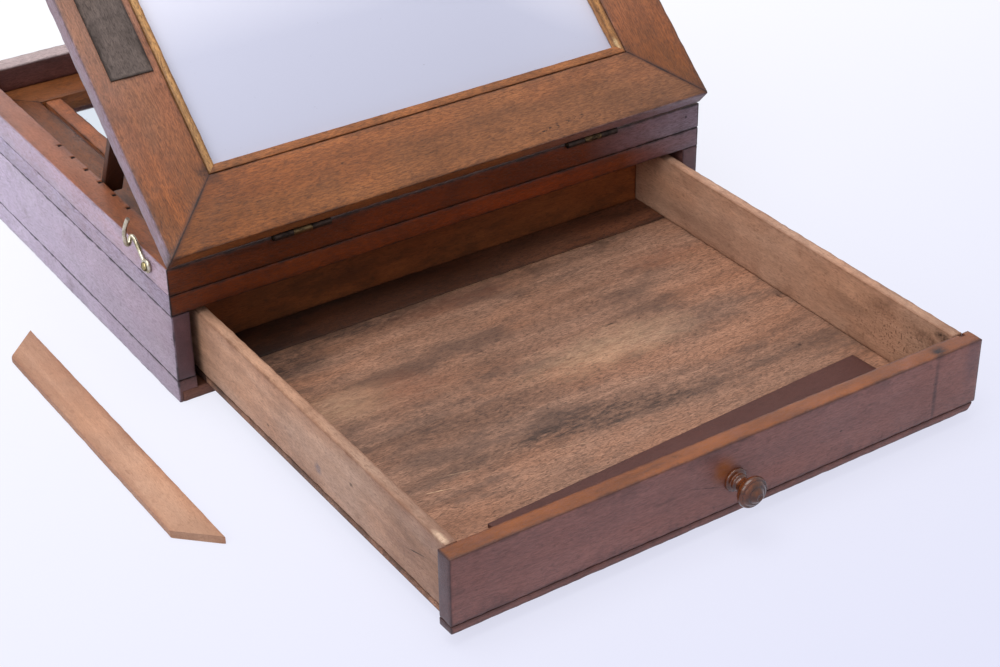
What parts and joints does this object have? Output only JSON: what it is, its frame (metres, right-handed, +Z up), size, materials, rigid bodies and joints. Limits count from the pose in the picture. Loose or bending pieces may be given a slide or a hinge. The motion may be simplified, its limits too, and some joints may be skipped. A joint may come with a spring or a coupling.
{
  "type": "table-top artist easel",
  "caption": "Table-top artist's easel: a case with a drawer, a mirrored tray, and a glazed lid that tilts up on front hinges and stands on folding prop legs.",
  "frame": {"origin": "centre of the case's underside, on the surface that it stands on", "axes": "+X to the right, +Y to the back, away from the drawer's front, +Z up"},
  "size_m": [0.467, 0.651, 0.3267],
  "materials": {
    "mahogany": "waxed",
    "mahogany_worn": "waxed, worn",
    "mahogany_dark": "waxed, dark",
    "boxwood": "oiled",
    "fillet_wood": "bare",
    "pine": "bare, aged",
    "stained_pine": "bare, stained",
    "amber_wood": "polished",
    "opal_glass": "opal",
    "mirror": "polished",
    "abrasive": "gritty",
    "dark_card": "matt",
    "iron": "dark",
    "brass": "tarnished",
    "steel": "dull"
  },
  "bodies": {
    "case": {"base_board": "mahogany_dark", "plinth_left": "mahogany_worn", "plinth_right": "mahogany_worn", "plinth_back": "mahogany_worn", "case_side_left": "mahogany_worn", "case_side_right": "mahogany_worn", "case_back": "mahogany_worn", "mirror_frame_front": "mahogany", "mirror_frame_back": "mahogany", "mirror_frame_left": "mahogany", "mirror_frame_right": "mahogany", "mirror_glass": "mirror", "mirror_backing": "pine", "mirror_fillet_left": "mahogany", "mirror_fillet_right": "mahogany", "tray_wall_front": "mahogany", "tray_wall_back": "mahogany", "tray_wall_left": "mahogany", "tray_wall_right": "mahogany", "hinge_leaves_lower": "iron", "hinge_pins": "brass", "hinge_screws_lower": "iron", "hook_screw": "brass"},
    "lid": {"lid_rail_front": "mahogany", "lid_rail_back": "mahogany", "lid_stile_left": "mahogany", "lid_stile_right": "mahogany", "lid_bead_front": "boxwood", "lid_bead_back": "boxwood", "lid_bead_left": "boxwood", "lid_bead_right": "boxwood", "opal_glass": "opal_glass", "lid_fillet_front": "fillet_wood", "lid_fillet_back": "fillet_wood", "lid_fillet_right": "fillet_wood", "abrasive_strip": "abrasive", "hinge_leaves_upper": "iron", "hinge_screws_upper": "iron", "prop_plates": "iron", "prop_plate_screws": "iron"},
    "prop_left": {"prop_leg_left": "mahogany_dark", "prop_pivot_pin_left": "steel", "prop_foot_pin_left": "steel"},
    "prop_right": {"prop_leg_right": "mahogany_dark", "prop_pivot_pin_right": "steel", "prop_foot_pin_right": "steel"},
    "hook": {"hook": "brass"},
    "drawer": {"drawer_front": "mahogany_worn", "drawer_front_strip": "mahogany_dark", "drawer_side_left": "pine", "drawer_side_right": "pine", "drawer_back": "pine", "drawer_floor": "stained_pine", "knob": "amber_wood", "loose_strip": "dark_card"},
    "loose_fillet": {"loose_fillet": "fillet_wood"}
  },
  "joints": [
    {"name": "lid_tilt", "type": "hinge", "parent": "case", "child": "lid", "pos_m": [0, -0.1708, 0.09415], "axis": [1, 0, 0], "range_deg": [-40.6, 19.4]},
    {"name": "prop_left_swing", "type": "hinge", "parent": "lid", "child": "prop_left", "pos_m": [-0.17535, -0.07859, 0.16943], "axis": [1, 0, 0], "range_deg": [-50.8, 105.8]},
    {"name": "prop_right_swing", "type": "hinge", "parent": "lid", "child": "prop_right", "pos_m": [0.17535, -0.07859, 0.16943], "axis": [1, 0, 0], "range_deg": [-50.8, 105.8]},
    {"name": "hook_pivot", "type": "hinge", "parent": "case", "child": "hook", "pos_m": [-0.20145, -0.145, 0.0862], "axis": [1, 0, 0], "range_deg": [-114, 86]},
    {"name": "drawer_slide", "type": "slide", "parent": "case", "child": "drawer", "axis": [0, 1, 0], "range_m": [-0.02, 0.287]},
    {"name": "loose_fillet_lift", "type": "slide", "parent": "case", "child": "loose_fillet", "axis": [0, 0, 1], "range_m": [0, 0.05]}
  ],
  "couplings": [
    {"joint": "prop_left_swing", "follows": "lid_tilt", "ratio": -2.5946},
    {"joint": "prop_right_swing", "follows": "lid_tilt", "ratio": -2.5946}
  ]
}
